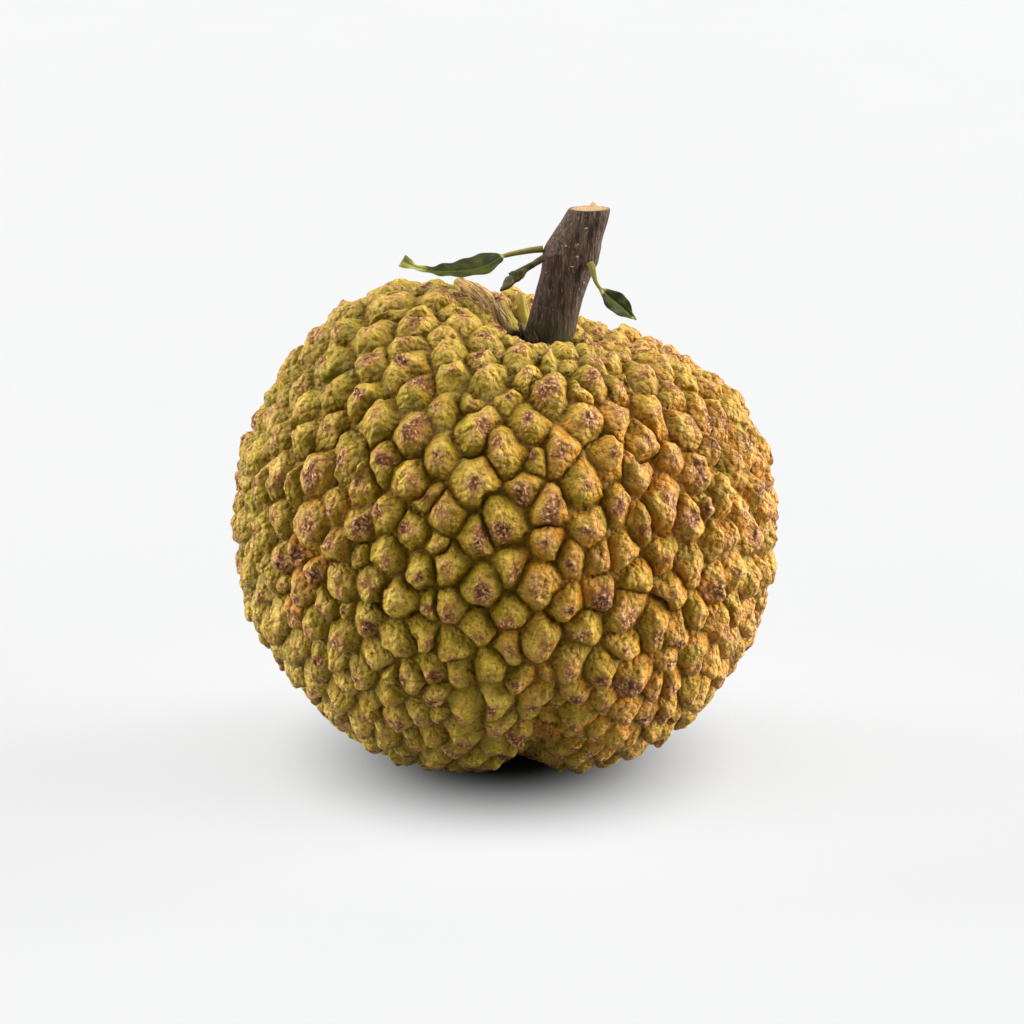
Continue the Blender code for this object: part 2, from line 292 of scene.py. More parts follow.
def fruit_radius(directions):
    """From the fruit's centre to the bottom of its grooves, along each unit direction."""
    x, y, z = directions.T
    across = np.hypot(x / HALF_WIDTH, y / HALF_DEPTH)
    power = np.where(z > 0, CROWN_POWER, BASE_POWER)
    along = np.abs(z) / np.where(z > 0, CROWN_HEIGHT, BASE_HEIGHT)
    radius = (across**power + along**power) ** (-1 / power)
    for axis, spread, rise in SWELLINGS:
        radius += rise * MM * bump(directions, axis, math.radians(spread))
    for start, end, half_width, depth in FURROWS:
        radius -= depth * MM * furrow(directions, start, end, math.radians(half_width))
    return radius


def fruit_surface(pattern):
    """Points in the grooves, for unit directions of the knob pattern, whose pole is the stalk."""
    theta = np.linspace(0.002, math.pi - 0.002, 721)
    stretch = np.interp(theta, STRETCH_ANGLES, STRETCHES)
    slope = 1 / (stretch * np.sin(theta))
    mercator = np.concatenate([[0], np.cumsum((slope[1:] + slope[:-1]) / 2 * np.diff(theta))])
    mercator -= np.interp(math.pi / 2, theta, mercator) + STRETCH_SHIFT
    flat = 2 * np.arctan(np.exp(mercator))
    polar = np.interp(np.arccos(np.clip(pattern[:, 2], -1, 1)), flat, theta)
    turn = np.arctan2(pattern[:, 1], pattern[:, 0])
    own = np.stack([np.sin(polar) * np.cos(turn), np.sin(polar) * np.sin(turn), np.cos(polar)], axis=1)
    directions = own @ np.array(Matrix.Rotation(AXIS_LEAN, 3, "Y")).T
    return CENTRE + directions * fruit_radius(directions)[:, None]


def knob_sites(rng):
    """Knob centres spread evenly over the pattern's sphere; the stalk's seat is the first of them."""
    step = np.arange(KNOBS) + 0.5
    height = 1 - 2 * step / KNOBS
    turn = step * math.pi * (3 - math.sqrt(5))
    ring = np.sqrt(1 - height**2)
    sites = np.stack([ring * np.cos(turn), ring * np.sin(turn), height], axis=1)
    sites = unit(sites + rng.normal(0, SPIRAL_JITTER, sites.shape))
    samples = unit(rng.normal(size=(RELAX_SAMPLES, 3)))
    for _ in range(RELAX_ROUNDS):
        nearest = np.argmax(samples @ sites.T, axis=1)
        totals = np.zeros_like(sites)
        np.add.at(totals, nearest, samples)
        sites = unit(totals + sites)
    sites = sites[np.arccos(sites[:, 2]) > SEAT_CLEAR]
    return np.vstack([[0, 0, 1], sites])


def cells_round(sites, weights):
    """The corners between neighbouring sites, and for each site the ring of its corners.

    A heavier site takes more room. Corners are the face normals of the hull round the weighted sites.
    """
    bm = bmesh.new()
    spots = sites * weights[:, None]
    for spot in spots:
        bm.verts.new(spot)
    bm.verts.index_update()
    bmesh.ops.convex_hull(bm, input=bm.verts[:])
    bmesh.ops.triangulate(bm, faces=bm.faces[:])
    bm.faces.index_update()
    a, b, c = np.transpose([[spots[vert.index] for vert in face.verts] for face in bm.faces], (1, 0, 2))
    corners = np.cross(b - a, c - a)
    corners = unit(corners * np.sign(np.sum(corners * a, axis=1))[:, None])
    rings = []
    for vert in bm.verts[: len(sites)]:
        around = [face.index for face in vert.link_faces]
        middle = corners[around].sum(axis=0) if around else np.ones(3)
        side = np.cross(middle, (0.31, 0.52, 0.79))
        up = np.cross(middle, side) / np.linalg.norm(middle)
        around.sort(key=lambda i: math.atan2(corners[i] @ up, corners[i] @ side))
        rings.append(around)
    bm.free()
    return corners, rings


def knob_layout():
    """Corner points and corner rings of every knob and bud, with the stalk's seat first."""
    rng = np.random.default_rng(SEED)
    sites = knob_sites(rng)
    weights = 1 + rng.normal(0, SIZE_SPREAD, len(sites))
    weights[0] = SEAT_WEIGHT
    corners, _ = cells_round(sites, weights)
    reach = np.max(corners @ sites.T, axis=1)
    clear_of_seat = np.arccos(corners[:, 2]) > 1.6 * SEAT_CLEAR
    gaps = np.argsort(np.where(clear_of_seat, reach, 2))[: 4 * BUDS]
    chosen = []
    for gap in rng.permutation(gaps):
        if len(chosen) < BUDS and all(corners[gap] @ corners[i] < math.cos(BUD_SPACING) for i in chosen):
            chosen.append(gap)
    sites = np.vstack([sites, corners[chosen]])
    weights = np.concatenate([weights, np.full(len(chosen), BUD_WEIGHT)])
    corners, rings = cells_round(sites, weights)
    return fruit_surface(corners), rings


def welded_corners(points, rings):
    """Corners nearer than the shortest edge made one, so that no knob has a sliver of a side."""
    owner = list(range(len(points)))

    def root(i):
        while owner[i] != i:
            i = owner[i]
        return i

    for ring in rings:
        for a, b in zip(ring, ring[1:] + ring[:1]):
            if np.linalg.norm(points[a] - points[b]) < SHORTEST_EDGE:
                owner[root(b)] = root(a)
    groups = {}
    for i in range(len(points)):
        groups.setdefault(root(i), []).append(i)
    joined = {i: points[members].mean(axis=0) for i, members in groups.items()}
    shorter = []
    for ring in rings:
        kept = []
        for i in map(root, ring):
            if i not in kept:
                kept.append(i)
        shorter.append(kept)
    return joined, shorter


# How finely a knob is drawn, and the round form of its sides
GROOVE_STEP = 1.45 * MM
GROOVE_BOW = 0.10
GROOVE_DEEPER = (-1.1 * MM, 1.2 * MM)
CORNER_DEEPER = 1.0 * MM
KNOB_LEVELS = (0.93, 0.80, 0.62, 0.42, 0.22)
KNOB_FULLNESS = 1.95
LIP_REACH = 1.7 * MM
SCAR_DEPTH = 0.65 * MM
SEAT_WELL_TOP = Vector((8.1, 0.0, 77.6)) * MM
SEAT_WELL_FOOT = Vector((6.4, 0.0, 70.6)) * MM
SEAT_WELL_RADII = (4.95 * MM, 4.75 * MM)

# Marks: place on the skin, how far each reaches, scar strength, orange tint
MARKS = (
    ((-34.2, -31.0, 43.0), 4.4, 0.7, 1.2),
    ((-36.5, -30.0, 33.0), 3.0, 0.4, 0.7),
    ((6.6, -31.0, 13.5), 6.0, 1.5, 0.6),
    ((29.2, -30.0, 68.0), 2.6, 1.0, 0.3),
    ((34.7, -24.0, 71.0), 2.4, 0.9, 0.3),
    ((14.0, -44.0, 40.0), 3.6, 0.5, 0.8),
    ((-20.0, -28.0, 77.0), 5.0, 0.5, 0.4),
    ((26.0, -38.0, 22.0), 4.0, 0.6, 0.6),
    ((-16.0, 42.0, 52.0), 4.5, 0.8, 0.7),
    ((30.0, 30.0, 30.0), 4.0, 0.7, 0.8),
    ((-44.0, 8.0, 52.0), 4.0, 0.7, 0.5),
)


def orange_share(place):
    """How orange the ripe skin is there: the sunny side is towards +X."""
    sun = 0.5 + 0.5 * math.tanh((place.x - 9 * MM) / (16 * MM))
    patch = noise.noise(place * 45) * 0.38 + noise.noise(place * 130 + Vector((7, 3, 1))) * 0.25
    back = 0.30 * (0.5 + 0.5 * math.tanh((place.y - 10 * MM) / (15 * MM)))
    shade = 0.5 + 0.5 * math.tanh((place.z - 72 * MM) / (5 * MM))
    return (sun * 0.78 + patch + back) * (1 - 0.45 * shade) + 0.04


def draw_fruit():
    """The skin's points and faces, the height of each face's knob, and the facts about each point."""
    corners, rings = welded_corners(*knob_layout())
    rng = np.random.default_rng(SEED + 1)
    verts, faces, knob_heights = [], [], []
    facts = {name: [] for name in ("rise", "scar", "rim", "tone", "warm")}
    marks = np.array([place for place, _, _, _ in MARKS]) * MM

    def add(place, **values):
        verts.append(place)
        for name, column in facts.items():
            column.append(values.get(name, 0.0))
        return len(verts) - 1

    def outward(place):
        return (place - CENTRE) / np.linalg.norm(place - CENTRE)

    def next_to(ring):
        return ring[1:] + ring[:1]

    def wall(ring, higher):
        faces.extend(zip(ring, next_to(ring), next_to(higher), higher))
        return higher

    def close(ring, peak):
        faces.extend((a, b, peak) for a, b in zip(ring, next_to(ring)))
        knob_heights.extend([middle[2]] * (len(faces) - len(knob_heights)))

    corner_at = {}
    for i in sorted({i for ring in rings for i in ring}):
        corner_at[i] = add(corners[i] - outward(corners[i]) * CORNER_DEEPER, tone=0.5)
    groove_between = {}
    for number, ring in enumerate(rings):
        if len(ring) < 3:
            continue
        border, cell = [], []
        for a, b in zip(ring, next_to(ring)):
            key = (min(a, b), max(a, b))
            if key not in groove_between:
                start, end = corners[key[0]], corners[key[1]]
                length = np.linalg.norm(end - start)
                count = max(1, round(length / GROOVE_STEP))
                out = outward((start + end) / 2)
                aside = np.cross(out, (end - start) / length)
                bow = rng.normal(0, GROOVE_BOW) * length
                depth_here = GROOVE_DEEPER[0] + (GROOVE_DEEPER[1] - GROOVE_DEEPER[0]) * rng.uniform() ** 0.6
                between = []
                for k in range(1, count):
                    share = k / count
                    arch = math.sin(math.pi * share)
                    place = start + (end - start) * share + aside * bow * arch
                    depth = CORNER_DEEPER + (depth_here - CORNER_DEEPER) * arch
                    between.append((add(place - out * depth, tone=0.5), place))
                groove_between[key] = between
            between = groove_between[key]
            between = between if key[0] == a else between[::-1]
            border += [corner_at[a], *(i for i, _ in between)]
            cell += [corners[a], *(place for _, place in between)]
        edge = np.array(cell)
        count = len(edge)
        middle = edge.mean(axis=0)
        spread = np.cross(edge - middle, np.roll(edge, -1, axis=0) - middle).sum(axis=0) / 2
        area = np.linalg.norm(spread)
        normal = spread / area
        if normal @ (middle - CENTRE) < 0:
            normal = -normal
            border.reverse()
            edge = edge[::-1]
        base = np.array([verts[i] for i in border])
        size = math.sqrt(area)
        if number == 0:
            well_top = np.array(SEAT_WELL_TOP)
            well_foot = np.array(SEAT_WELL_FOOT)
            turns = [math.atan2(v[1] - well_top[1], v[0] - well_top[0]) for v in edge]
            circle = np.array([(math.cos(t), math.sin(t), 0) for t in turns])
            levels = [
                edge * 0.45 + (well_top + circle * SEAT_WELL_RADII[0]) * 0.55,
                well_top + circle * SEAT_WELL_RADII[0],
                well_foot + circle * SEAT_WELL_RADII[1],
                well_foot + circle * SEAT_WELL_RADII[1] * 0.4,
            ]
            for level in levels:
                border = wall(border, [add(p, rise=0.12, tone=0.4) for p in level])
            close(border, add(well_foot, rise=0.1))
            continue

        rise = min(KNOB_RISE * size, KNOB_RISE_MOST) * (1 + RISE_SPREAD * rng.uniform(-1, 1))
        fall = np.array((-STEM_AXIS.x, 0, -STEM_AXIS.z))
        fall -= normal * (normal @ fall)
        steep = min(1.0, np.linalg.norm(fall) * 2.5)
        fall /= max(np.linalg.norm(fall), 1e-9)
        side = np.cross(normal, fall)
        below = min(max((0.62 - middle[2] / (2 * CENTRE[2])) / 0.4, 0.0), 1.0) * steep
        tone = rng.uniform(0, 1)
        fullness = KNOB_FULLNESS * rng.uniform(0.90, 1.35)
        keel = rng.uniform(0.05, 0.40) * (1 - 0.6 * below)
        jitter = rng.normal(0, 0.06, 2) * size
        rise *= 1 - 0.22 * below
        top = middle + fall * (SCALE_SLIDE * 1.6 * below * size + jitter[0]) + side * jitter[1]
        scar_at = top + fall * rng.normal(0.03 + 0.16 * below, 0.09) * size
        scar_at = scar_at + side * rng.normal(0, 0.08) * size
        scar_wide = size * rng.uniform(0.14, 0.30)
        scar_long = scar_wide * rng.uniform(0.9, 1.9) * (1 - 0.35 * below)
        scar_wide *= 1 + 0.5 * below
        scar_power = float(np.clip(rng.normal(0.72, 0.28), 0, 1))
        tint = (tone - 0.5) * 0.22
        for place, (_, reach, scarring, orange) in zip(marks, MARKS):
            near = math.exp(-((np.linalg.norm(middle - place) / (reach * MM)) ** 2))
            scar_power += near * scarring
            scar_wide *= 1 + 0.9 * near * scarring
            tint += near * orange

        def from_scar(spots):
            flat = spots - scar_at
            return ((flat @ fall) / scar_long) ** 2 + ((flat @ side) / scar_wide) ** 2

        rays = edge - top
        half = np.abs(rays @ side).max()
        reach = np.linalg.norm(rays, axis=1)
        waves = np.fft.rfft(reach)
        waves[4:] = 0
        rounded = np.fft.irfft(waves, count)
        lean = np.clip(unit(rays) @ fall, 0, 1)
        shove = rng.normal(0, 0.22, 2)
        for level in KNOB_LEVELS:
            ease = (1 - level) ** 1.1
            contour = top + rays * (level * ((1 - ease) + ease * rounded / reach))[:, None]
            contour += (base - edge) * level**6
            aside = np.clip(np.abs((contour - top) @ side) / half, 0, 1)
            tilt = 1 + level * (unit(rays) @ (side * shove[0] + fall * shove[1]))
            own_fullness = fullness * (1 + below * (1.4 * lean - 0.3))
            height = rise * (1 - level**own_fullness) * (1 - keel * aside**1.4) * tilt
            lip = LIP_REACH * below * 4 * level**2 * (1 - level)
            contour = contour + normal * height[:, None] + fall * (lip * (0.35 + 0.65 * lean))[:, None]
            gone = from_scar(contour)
            scar = scar_power * np.exp(-gone)
            pit = SCAR_DEPTH * (scar * 1.2 - scar_power * 0.5 * np.exp(-gone / 2.6))
            contour = contour - normal * np.where(scar_power > 0.35, pit, 0)[:, None]
            band = math.exp(-(((level - 0.82) / 0.12) ** 2))
            higher = []
            for p, s, lead, ray in zip(contour, scar, lean, rays):
                # Painted light: each knob is tinted more orange on its flank towards +X, the side the
                # stronger right soft box lights.
                warm = orange_share(Vector(p)) + tint + 0.16 * ray[0] / size
                rim = band * lead * below
                higher.append(add(p, rise=1 - level**fullness, scar=s, rim=rim, tone=tone, warm=warm))
            border = wall(border, higher)
        scar = scar_power * math.exp(-from_scar(top + normal * rise))
        warm = orange_share(Vector(top)) + tint
        peak = top + normal * (rise - SCAR_DEPTH * scar * 0.6)
        close(border, add(peak, rise=1.0, scar=scar, tone=tone, warm=warm))
    for i in [*corner_at.values(), *(i for between in groove_between.values() for i, _ in between)]:
        facts["warm"][i] = orange_share(Vector(verts[i]))
    return np.array(verts), faces, np.array(knob_heights), facts


def mesh_piece(name, verts, faces):
    """A smooth-shaded object at the origin, from points and faces."""
    mesh = bpy.data.meshes.new(name)
    mesh.from_pydata([tuple(v) for v in verts], [], faces)
    mesh.shade_smooth()
    made = bpy.data.objects.new(name, mesh)
    bpy.context.scene.collection.objects.link(made)
    return made


def keep_facts(piece, **facts):
    """Numbers kept on the piece's points, for its material to read."""
    for name, column in facts.items():
        piece.data.attributes.new(name, "FLOAT", "POINT").data.foreach_set("value", column)


def fact_in(tree, name):
    """A number that is kept on the piece's points."""
    return add_node(tree, "ShaderNodeAttribute", attribute_name=name).outputs["Fac"]


fruit_verts, fruit_faces, knob_heights, fruit_facts = draw_fruit()
band_of = np.searchsorted(np.quantile(knob_heights, (0.25, 0.5, 0.75)), knob_heights)
skin_pieces = []
for band, name in enumerate(("base_skin", "flank_skin", "shoulder_skin", "crown_skin")):
    own_faces = [fruit_faces[k] for k in np.flatnonzero(band_of == band)]
    used = sorted({i for face in own_faces for i in face})
    new_number = dict(zip(used, range(len(used))))
    own_faces = [tuple(new_number[i] for i in face) for face in own_faces]
    piece = mesh_piece(name, fruit_verts[used], own_faces)
    keep_facts(piece, **{fact: np.array(column)[used] for fact, column in fruit_facts.items()})
    skin_pieces.append(piece)

skin, tree, shader = new_material("knobbly_ripe_skin", 0.5, 0.20)
fact = {name: fact_in(tree, name) for name in fruit_facts}


def swayed(pattern, other, strength):
    """The pattern moved by another, which swings about 0 by that strength."""
    return plus(pattern, times(minus(other, 0.5), strength))


def cells(tree, scale, output="Distance"):
    """Cells of about 1/scale metres: the distance from a cell's middle, or the cell's own number."""
    sources = {"Vector": place_in(tree), "Scale": scale}
    return add_node(tree, "ShaderNodeTexVoronoi", sources).outputs[output]


broad = grain(tree, 170, 2)
mottle = grain(tree, 520, 4, 0.6)
fine = grain(tree, 1500, 3, 0.65)
fleck = swayed(cells(tree, 2300, "Color"), fine, 0.6)
lift = swayed(swayed(fact["rise"], mottle, 1.1), fact["tone"], 0.35)
green = blend(broad, (0.155, 0.102, 0.0007), (0.285, 0.187, 0.0023))
yellow = blend(fact["tone"], (0.372, 0.246, 0.012), (0.510, 0.358, 0.048))
umber = blend(broad, (0.31, 0.108, 0.0012), (0.46, 0.192, 0.007))
tan = blend(mottle, (0.475, 0.222, 0.018), (0.64, 0.356, 0.078))
# Each knob's colour follows its height: green or umber low on its sides, yellow or tan on top. The tops are
# partly the skin's own yellow and partly painted highlight, made lighter and paler than the sides.
high = ramp(lift, 0.28, 1.08)
fresh = blend(high, (0.155, 0.120, 0.0007), (0.325, 0.250, 0.009))
cool = blend(high, green, yellow)
cool = blend(ramp(swayed(broad, mottle, 0.5), 0.50, 0.68), cool, fresh)
ripe = blend(high, umber, tan)
olive = ramp(swayed(grain(tree, 240, 2, 0.6), mottle, 0.6), 0.47, 0.61)
ripe = blend(times(olive, 0.80), ripe, (0.235, 0.165, 0.007))
warmth = swayed(fact["warm"], broad, 0.6)
ripe = blend(ramp(warmth, 0.10, 1.0), cool, ripe)
weathered = ramp(swayed(grain(tree, 300, 3, 0.65), fact["tone"], 0.20), 0.42, 0.64)
weathered = times(times(weathered, high), 0.68)
ripe = blend(weathered, ripe, (0.20, 0.085, 0.014))
chosen = ramp(cells(tree, 1100, "Color"), 0.45, 0.52)
dots = minus(1.0, ramp(swayed(cells(tree, 1100), fine, 0.7), 0.14, 0.36))
ripe = blend(times(times(dots, chosen), 0.75), ripe, (0.110, 0.038, 0.004))
rough = times(ramp(grain(tree, 1150, 4, 0.7), 0.52, 0.66), 0.50)
ripe = blend(rough, ripe, (0.165, 0.066, 0.004))
rim = ramp(swayed(fact["rim"], mottle, 0.7), 0.20, 0.62)
ripe = blend(times(rim, 0.75), ripe, (0.31, 0.145, 0.045))
stain = ramp(swayed(fact["scar"], mottle, 1.6), 0.05, 0.70)
ripe = blend(times(stain, 0.70), ripe, (0.22, 0.066, 0.007))
scarred = ramp(swayed(swayed(fact["scar"], mottle, 1.2), fleck, 0.7), 0.30, 0.62)
crust = blend(ramp(fleck, 0.36, 0.50), (0.050, 0.015, 0.008), (0.19, 0.070, 0.022))
crust = blend(ramp(fleck, 0.64, 0.76), crust, (0.44, 0.24, 0.095))
ripe = blend(times(scarred, 0.88), ripe, crust)
# Painted shade: the skin is darkened towards brown-black low in the grooves between the knobs.
deep = ramp(fact["rise"], 0.0, 0.30)
ripe = blend(deep, blend(0.66, ripe, (0.098, 0.037, 0.001)), ripe)
feed(shader, "Base Color", ripe)
matt = plus(times(scarred, 0.25), times(mottle, 0.25))
feed(shader, "Roughness", plus(matt, 0.32))
warts = cells(tree, 900)
wrinkle = minus(times(mottle, 0.8), times(warts, 0.55))
wrinkle = plus(wrinkle, times(fine, 0.35))
wrinkle = plus(wrinkle, times(times(fact["scar"], fleck), 0.40))
raise_surface(shader, wrinkle, 0.0015)

# One tree rounds the knobs, crumples them, and raises their lumps and warts, on every part alike.
# Spacings are waves per metre, heights are metres, and the calm at the base is the share held back.
LUMPS = {
    "Lump spacing": 330.0,
    "Lump height": 0.0010,
    "Fold spacing": 360.0,
    "Fold height": 0.0013,
    "Wart spacing": 500.0,
    "Wart height": 0.0008,
    "Crumple spacing": 300.0,
    "Crumple size": 0.0023,
    "Calm at base": 0.5,
    "Lump seed": 3.7,
}


def growing_tree(name, takes, gives, sizes):
    """A tree that takes one mesh and a named input for each size, and those inputs."""
    made = bpy.data.node_groups.new(name, "GeometryNodeTree")
    made.interface.new_socket(takes, in_out="INPUT", socket_type="NodeSocketGeometry")
    for label, value in sizes.items():
        kind = "NodeSocketInt" if isinstance(value, int) else "NodeSocketFloat"
        made.interface.new_socket(label, in_out="INPUT", socket_type=kind).default_value = value
    made.interface.new_socket(gives, in_out="OUTPUT", socket_type="NodeSocketGeometry")
    return made, made.nodes.new("NodeGroupInput").outputs


def end_tree(geometry, material):
    """The tree's last steps: instances made real and given their material."""
    tree = geometry.id_data
    real = add_node(tree, "GeometryNodeRealizeInstances", {"Geometry": geometry}).outputs["Geometry"]
    coated = add_node(tree, "GeometryNodeSetMaterial", {"Geometry": real, "Material": material})
    fill(tree.nodes.new("NodeGroupOutput").inputs, [coated.outputs["Geometry"]])


lumps, given = growing_tree("skin_lumps", "Skin", "Lumpy skin", LUMPS)
place = add_node(lumps, "GeometryNodeInputPosition").outputs["Position"]
outward = add_node(lumps, "GeometryNodeInputNormal").outputs["Normal"]
raised = add_node(lumps, "GeometryNodeInputNamedAttribute", {"Name": "rise"}, data_type="FLOAT")


def waves(spacing, detail, output="Fac"):
    """Noise at that spacing, which the seed moves."""
    sources = {"Vector": place, "W": given["Lump seed"], "Scale": spacing, "Detail": detail}
    return add_node(lumps, "ShaderNodeTexNoise", sources, noise_dimensions="4D").outputs[output]


def swell(spacing, height, detail):
    """Noise at that spacing about 0, times its height."""
    return times(minus(waves(spacing, detail), 0.5), times(height, 2.0))


sources = {"Mesh": given["Skin"], "Level": 1}
rounded = add_node(lumps, "GeometryNodeSubdivisionSurface", sources).outputs["Mesh"]
above = ramp(add_node(lumps, "ShaderNodeSeparateXYZ", {"Vector": place}).outputs["Z"], 0.010, 0.050)
lively = minus(1.0, times(minus(1.0, above), given["Calm at base"]))
bent = vectors("SUBTRACT", waves(given["Crumple spacing"], 1.5, "Color"), (0.5, 0.5, 0.5))
bent = vectors("SCALE", bent, times(given["Crumple size"], lively))
fold = sums("ABSOLUTE", swell(given["Fold spacing"], given["Fold height"], 2.5))
total = minus(swell(given["Lump spacing"], given["Lump height"], 2.0), fold)
sources = {"Vector": place, "W": given["Lump seed"], "Scale": given["Wart spacing"]}
wart = add_node(lumps, "ShaderNodeTexVoronoi", sources, voronoi_dimensions="4D", feature="SMOOTH_F1")
wart = times(minus(0.5, wart.outputs["Distance"]), given["Wart height"])
total = times(times(plus(total, wart), lively), raised.outputs["Attribute"])
push = vectors("ADD", vectors("SCALE", outward, total), bent)
moved = add_node(lumps, "GeometryNodeSetPosition", {"Geometry": rounded, "Offset": push})
end_tree(moved.outputs["Geometry"], skin)


def grown(piece, group, values):
    """The piece's mesh after the tree has worked on it, as a plain mesh, with the modifier gone."""
    growing = piece.modifiers.new("growing", "NODES")
    growing.node_group = group
    for item in group.interface.items_tree:
        if item.in_out == "INPUT" and item.name in values:
            growing[item.identifier] = values[item.name]
    seen = piece.evaluated_get(bpy.context.evaluated_depsgraph_get())
    finished = bpy.data.meshes.new_from_object(seen)
    piece.modifiers.remove(growing)
    piece.data = finished
    finished.name = piece.name
    return piece


for piece in skin_pieces:
    grown(piece, lumps, LUMPS)
    places = np.empty(len(piece.data.vertices) * 3, np.float32)
    piece.data.vertices.foreach_get("co", places)
    places[2::3] = np.maximum(places[2::3], 0.0)
    piece.data.vertices.foreach_set("co", places)
    piece.data.update()
    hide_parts("fruit")
    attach(piece, "root")


# The stalk
# A short woody twig with wrinkled grey-brown bark, swollen at the joint where its leaves grow. It was
# cut nearly level with a sharp blade, which left pale wood inside a thin ring of bark.

# Height, middle and radii of the stalk along its length
STALK_ROWS = np.array((
    (70.7, 6.30, 4.40, 4.30),
    (74.0, 7.00, 4.42, 4.32),
    (77.0, 7.70, 4.50, 4.35),
    (79.1, 8.25, 4.56, 4.38),
    (82.0, 8.95, 4.46, 4.32),
    (84.5, 9.60, 4.45, 4.25),
    (87.4, 10.45, 4.55, 4.30),
    (89.7, 11.25, 4.78, 4.42),
    (91.4, 11.75, 5.05, 4.60),
    (93.2, 12.00, 5.18, 4.66),
    (94.4, 12.30, 5.12, 4.62),
    (95.2, 12.55, 4.94, 4.55),
    (96.6, 13.20, 4.64, 4.40),
    (98.7, 14.25, 4.24, 4.15),
    (100.6, 15.00, 3.90, 3.90),
    (101.3, 15.27, 3.74, 3.74),
))
STALK_AROUND = 112
STALK_UP = 150
# The cut end's rings from the rim in: share of the rim's radius, lift
CUT_RINGS = (
    (0.975, 0.10), (0.90, 0.06), (0.84, 0.16), (0.70, 0.10),
    (0.52, 0.14), (0.34, 0.06), (0.16, 0.10), (0.05, 0.02),
)


def curve_rows(rows, count):
    """The rows joined by a smooth curve and sampled evenly by row."""
    rows = np.asarray(rows, float)
    padded = np.vstack([2 * rows[0] - rows[1], rows, 2 * rows[-1] - rows[-2]])
    spots = np.linspace(0, len(rows) - 1, count)
    k = np.minimum(spots.astype(int), len(rows) - 2)
    t = (spots - k)[:, None]
    a, b, c, d = (padded[k + i] for i in range(4))
    return b + 0.5 * t * (c - a + t * (2 * a - 5 * b + 4 * c - d + t * (3 * (b - c) + d - a)))


def tube(rings, name):
    """A closed piece through rings of equal count, with its faces outward."""
    rings = [np.asarray(ring, float) for ring in rings]
    count = len(rings[0])
    verts = np.vstack(rings)
    faces = []
    for k in range(len(rings) - 1):
        for i in range(count):
            j = (i + 1) % count
            faces.append((k * count + i, k * count + j, (k + 1) * count + j, (k + 1) * count + i))
    faces.append(tuple(range(count))[::-1])
    faces.append(tuple((len(rings) - 1) * count + i for i in range(count)))
    made = mesh_piece(name, verts, faces)
    bm = bmesh.new()
    bm.from_mesh(made.data)
    if bm.calc_volume(signed=True) < 0:
        bmesh.ops.reverse_faces(bm, faces=bm.faces[:])
        bm.to_mesh(made.data)
    bm.free()
    return made


def turns_round(count):
    """Even turns round a ring, in radians."""
    return np.linspace(0, 2 * math.pi, count, endpoint=False)


def off_side(turn, x, y):
    """How far the turn is from the side that (x, y) is on, from -pi to pi."""
    return (turn - math.atan2(y, x) + math.pi) % (2 * math.pi) - math.pi


stalk_rings, stalk_facts = [], []
rows = curve_rows(STALK_ROWS, STALK_UP)
turns = turns_round(STALK_AROUND)
for level, (height, middle, across, deep) in enumerate(rows):
    ring = []
    for turn in turns:
        x, y = math.cos(turn), math.sin(turn)
        along = height + 1.5 * x
        grain_place = Vector((x * 2.3, y * 2.3, along * 0.055))
        ridges = noise.noise(grain_place * 1.9) * 0.55
        ridges += noise.noise(grain_place * 5.2 + Vector((5, 0, 0))) * 0.42
        ridges += noise.noise(Vector((x * 22, y * 22, along * 0.45))) * 0.18
        ridges += noise.noise(Vector((x * 3, y * 3, along * 1.1))) * 0.12
        # The long crease right of the slanting face above the joint
        crease = math.exp(-((off_side(turn, 0.36, -0.93) / 0.17) ** 2))
        crease *= 1 / (1 + math.exp(-(height - 90) / 1.3))
        # The collar under the right-hand leaf's foot
        collar_off = off_side(turn, 0.78, -0.62)
        collar = math.exp(-((collar_off / 0.42) ** 2) - ((height - 93.0) / 1.5) ** 2)
        notch = math.exp(-((collar_off / 0.34) ** 2) - ((height - 90.3) / 0.9) ** 2)
        # The old leaf scar on the left of the joint
        scar_off = off_side(turn, -0.66, -0.75)
        scar_line = math.exp(-((scar_off / 0.5) ** 2) - ((height - 93.4 - 0.9 * scar_off) / 0.35) ** 2)
        push = 0.20 * ridges - 0.42 * crease + 0.30 * collar - 0.45 * notch + 0.24 * scar_line
        push *= min(1.0, max(0.0, (height - 77.0) / 3.0)) * 0.75 + 0.25
        ring.append((middle + (across + push) * x, (deep + push) * y, height))
        stalk_facts.append(max(0.0, 1 - (height - 76) / 9))
    stalk_rings.append(np.array(ring) * MM)

# The cut end: the bark's rim, a bevel in it, then wood with rings in it and a torn splinter
rim = stalk_rings[-1]
cut_middle = rim.mean(axis=0)
for share, lift in CUT_RINGS:
    ring = cut_middle + (rim - cut_middle) * share
    for i, spot in enumerate(ring):
        rough = noise.noise(Vector(spot) * 1500) * 0.14 + noise.noise(Vector(spot) * 500) * 0.10
        x, y = spot[:2] - cut_middle[:2]
        splinter = math.exp(-(((x - 0.0007) / 0.00055) ** 2) - ((y - 0.0024) / 0.0005) ** 2)
        ring[i][2] += (lift + rough * (1 if share < 0.97 else 0.4) + 0.9 * splinter) * MM
    stalk_rings.append(ring)
    stalk_facts += [0.0] * STALK_AROUND
stalk_bark = tube(stalk_rings, "stalk_bark")
cut_fact = [0.0] * (STALK_UP * STALK_AROUND) + [1.0] * (len(CUT_RINGS) * STALK_AROUND)
keep_facts(stalk_bark, moss=stalk_facts, cut=cut_fact)

